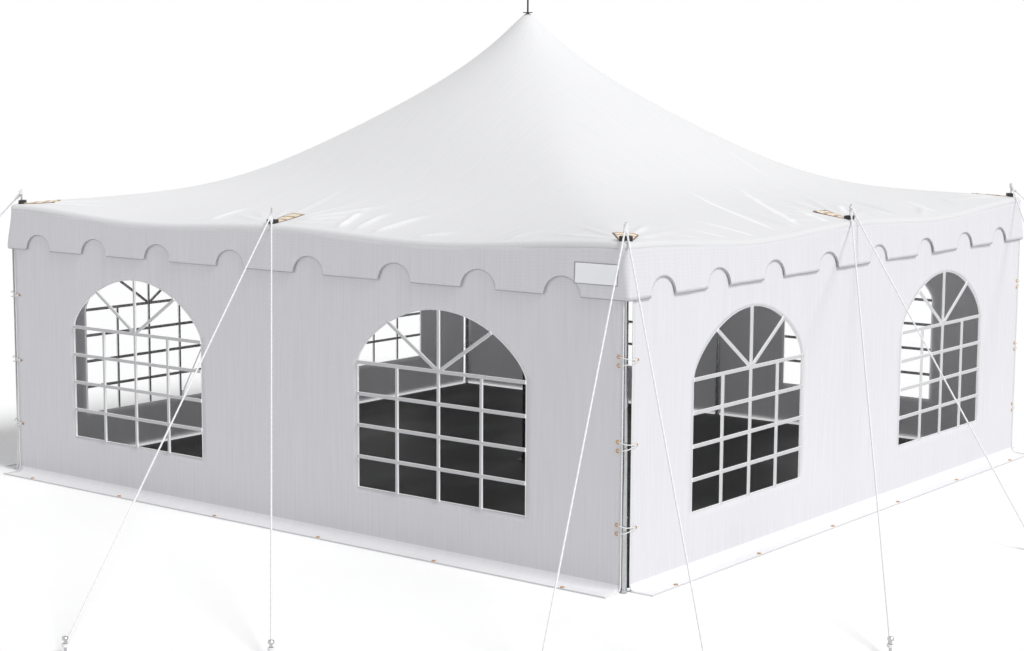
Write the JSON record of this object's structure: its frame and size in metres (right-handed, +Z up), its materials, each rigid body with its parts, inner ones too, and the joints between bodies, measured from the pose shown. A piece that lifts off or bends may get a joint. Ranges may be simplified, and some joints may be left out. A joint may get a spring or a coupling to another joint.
{
  "type": "marquee tent",
  "caption": "Square marquee tent: white peaked cloth roof with a scalloped valance on a centre pole and side poles, walls with arched clear windows, and guy lines.",
  "frame": {"origin": "middle of the tent at ground level, at the foot of the centre pole", "axes": "+Z up, -Y out of the front wall, +X out of the right wall"},
  "size_m": [10.438, 12.438, 3.9354],
  "materials": {
    "roof_cloth": "white coated woven polyethylene, taut, satin",
    "valance_cloth": "white coated woven polyethylene with hemmed scallops",
    "wall_cloth": "white coated woven polyethylene with a fine reinforcing grid",
    "window_film": "clear flexible film",
    "ground_cloth": "dark woven ground sheet",
    "pole_steel": "galvanised steel tube with a plain steel pin",
    "washer_rubber": "black rubber disc",
    "guy_rope": "white twisted rope on a steel stake"
  },
  "bodies": {
    "root": {"roof_panel_front": "roof_cloth", "roof_panel_right": "roof_cloth", "roof_panel_back": "roof_cloth", "roof_panel_left": "roof_cloth", "valance_front": "valance_cloth", "valance_right": "valance_cloth", "valance_back": "valance_cloth", "valance_left": "valance_cloth", "wall_front": "wall_cloth", "wall_right": "wall_cloth", "wall_back": "wall_cloth", "wall_left": "wall_cloth", "window_front_1": "window_film", "window_front_2": "window_film", "window_right_1": "window_film", "window_right_2": "window_film", "window_back_1": "window_film", "window_back_2": "window_film", "window_left_1": "window_film", "window_left_2": "window_film", "ground_sheet": "ground_cloth", "centre_pole": "pole_steel", "peak_washer": "washer_rubber", "side_pole_front_right": "pole_steel", "side_pole_front_middle": "pole_steel", "side_pole_right_middle": "pole_steel", "side_pole_back_right": "pole_steel", "side_pole_back_left": "pole_steel", "side_pole_back_middle": "pole_steel", "side_pole_left_middle": "pole_steel", "side_pole_front_left": "pole_steel", "guy_line_front_right_a": "guy_rope", "guy_line_front_right_b": "guy_rope", "guy_line_front_middle_a": "guy_rope", "guy_line_front_middle_b": "guy_rope", "guy_line_right_middle_a": "guy_rope", "guy_line_right_middle_b": "guy_rope", "guy_line_back_right_a": "guy_rope", "guy_line_back_right_b": "guy_rope", "guy_line_back_left_a": "guy_rope", "guy_line_back_left_b": "guy_rope", "guy_line_back_middle_a": "guy_rope", "guy_line_back_middle_b": "guy_rope", "guy_line_left_middle_a": "guy_rope", "guy_line_left_middle_b": "guy_rope", "guy_line_front_left_a": "guy_rope", "guy_line_front_left_b": "guy_rope"}
  },
  "joints": []
}
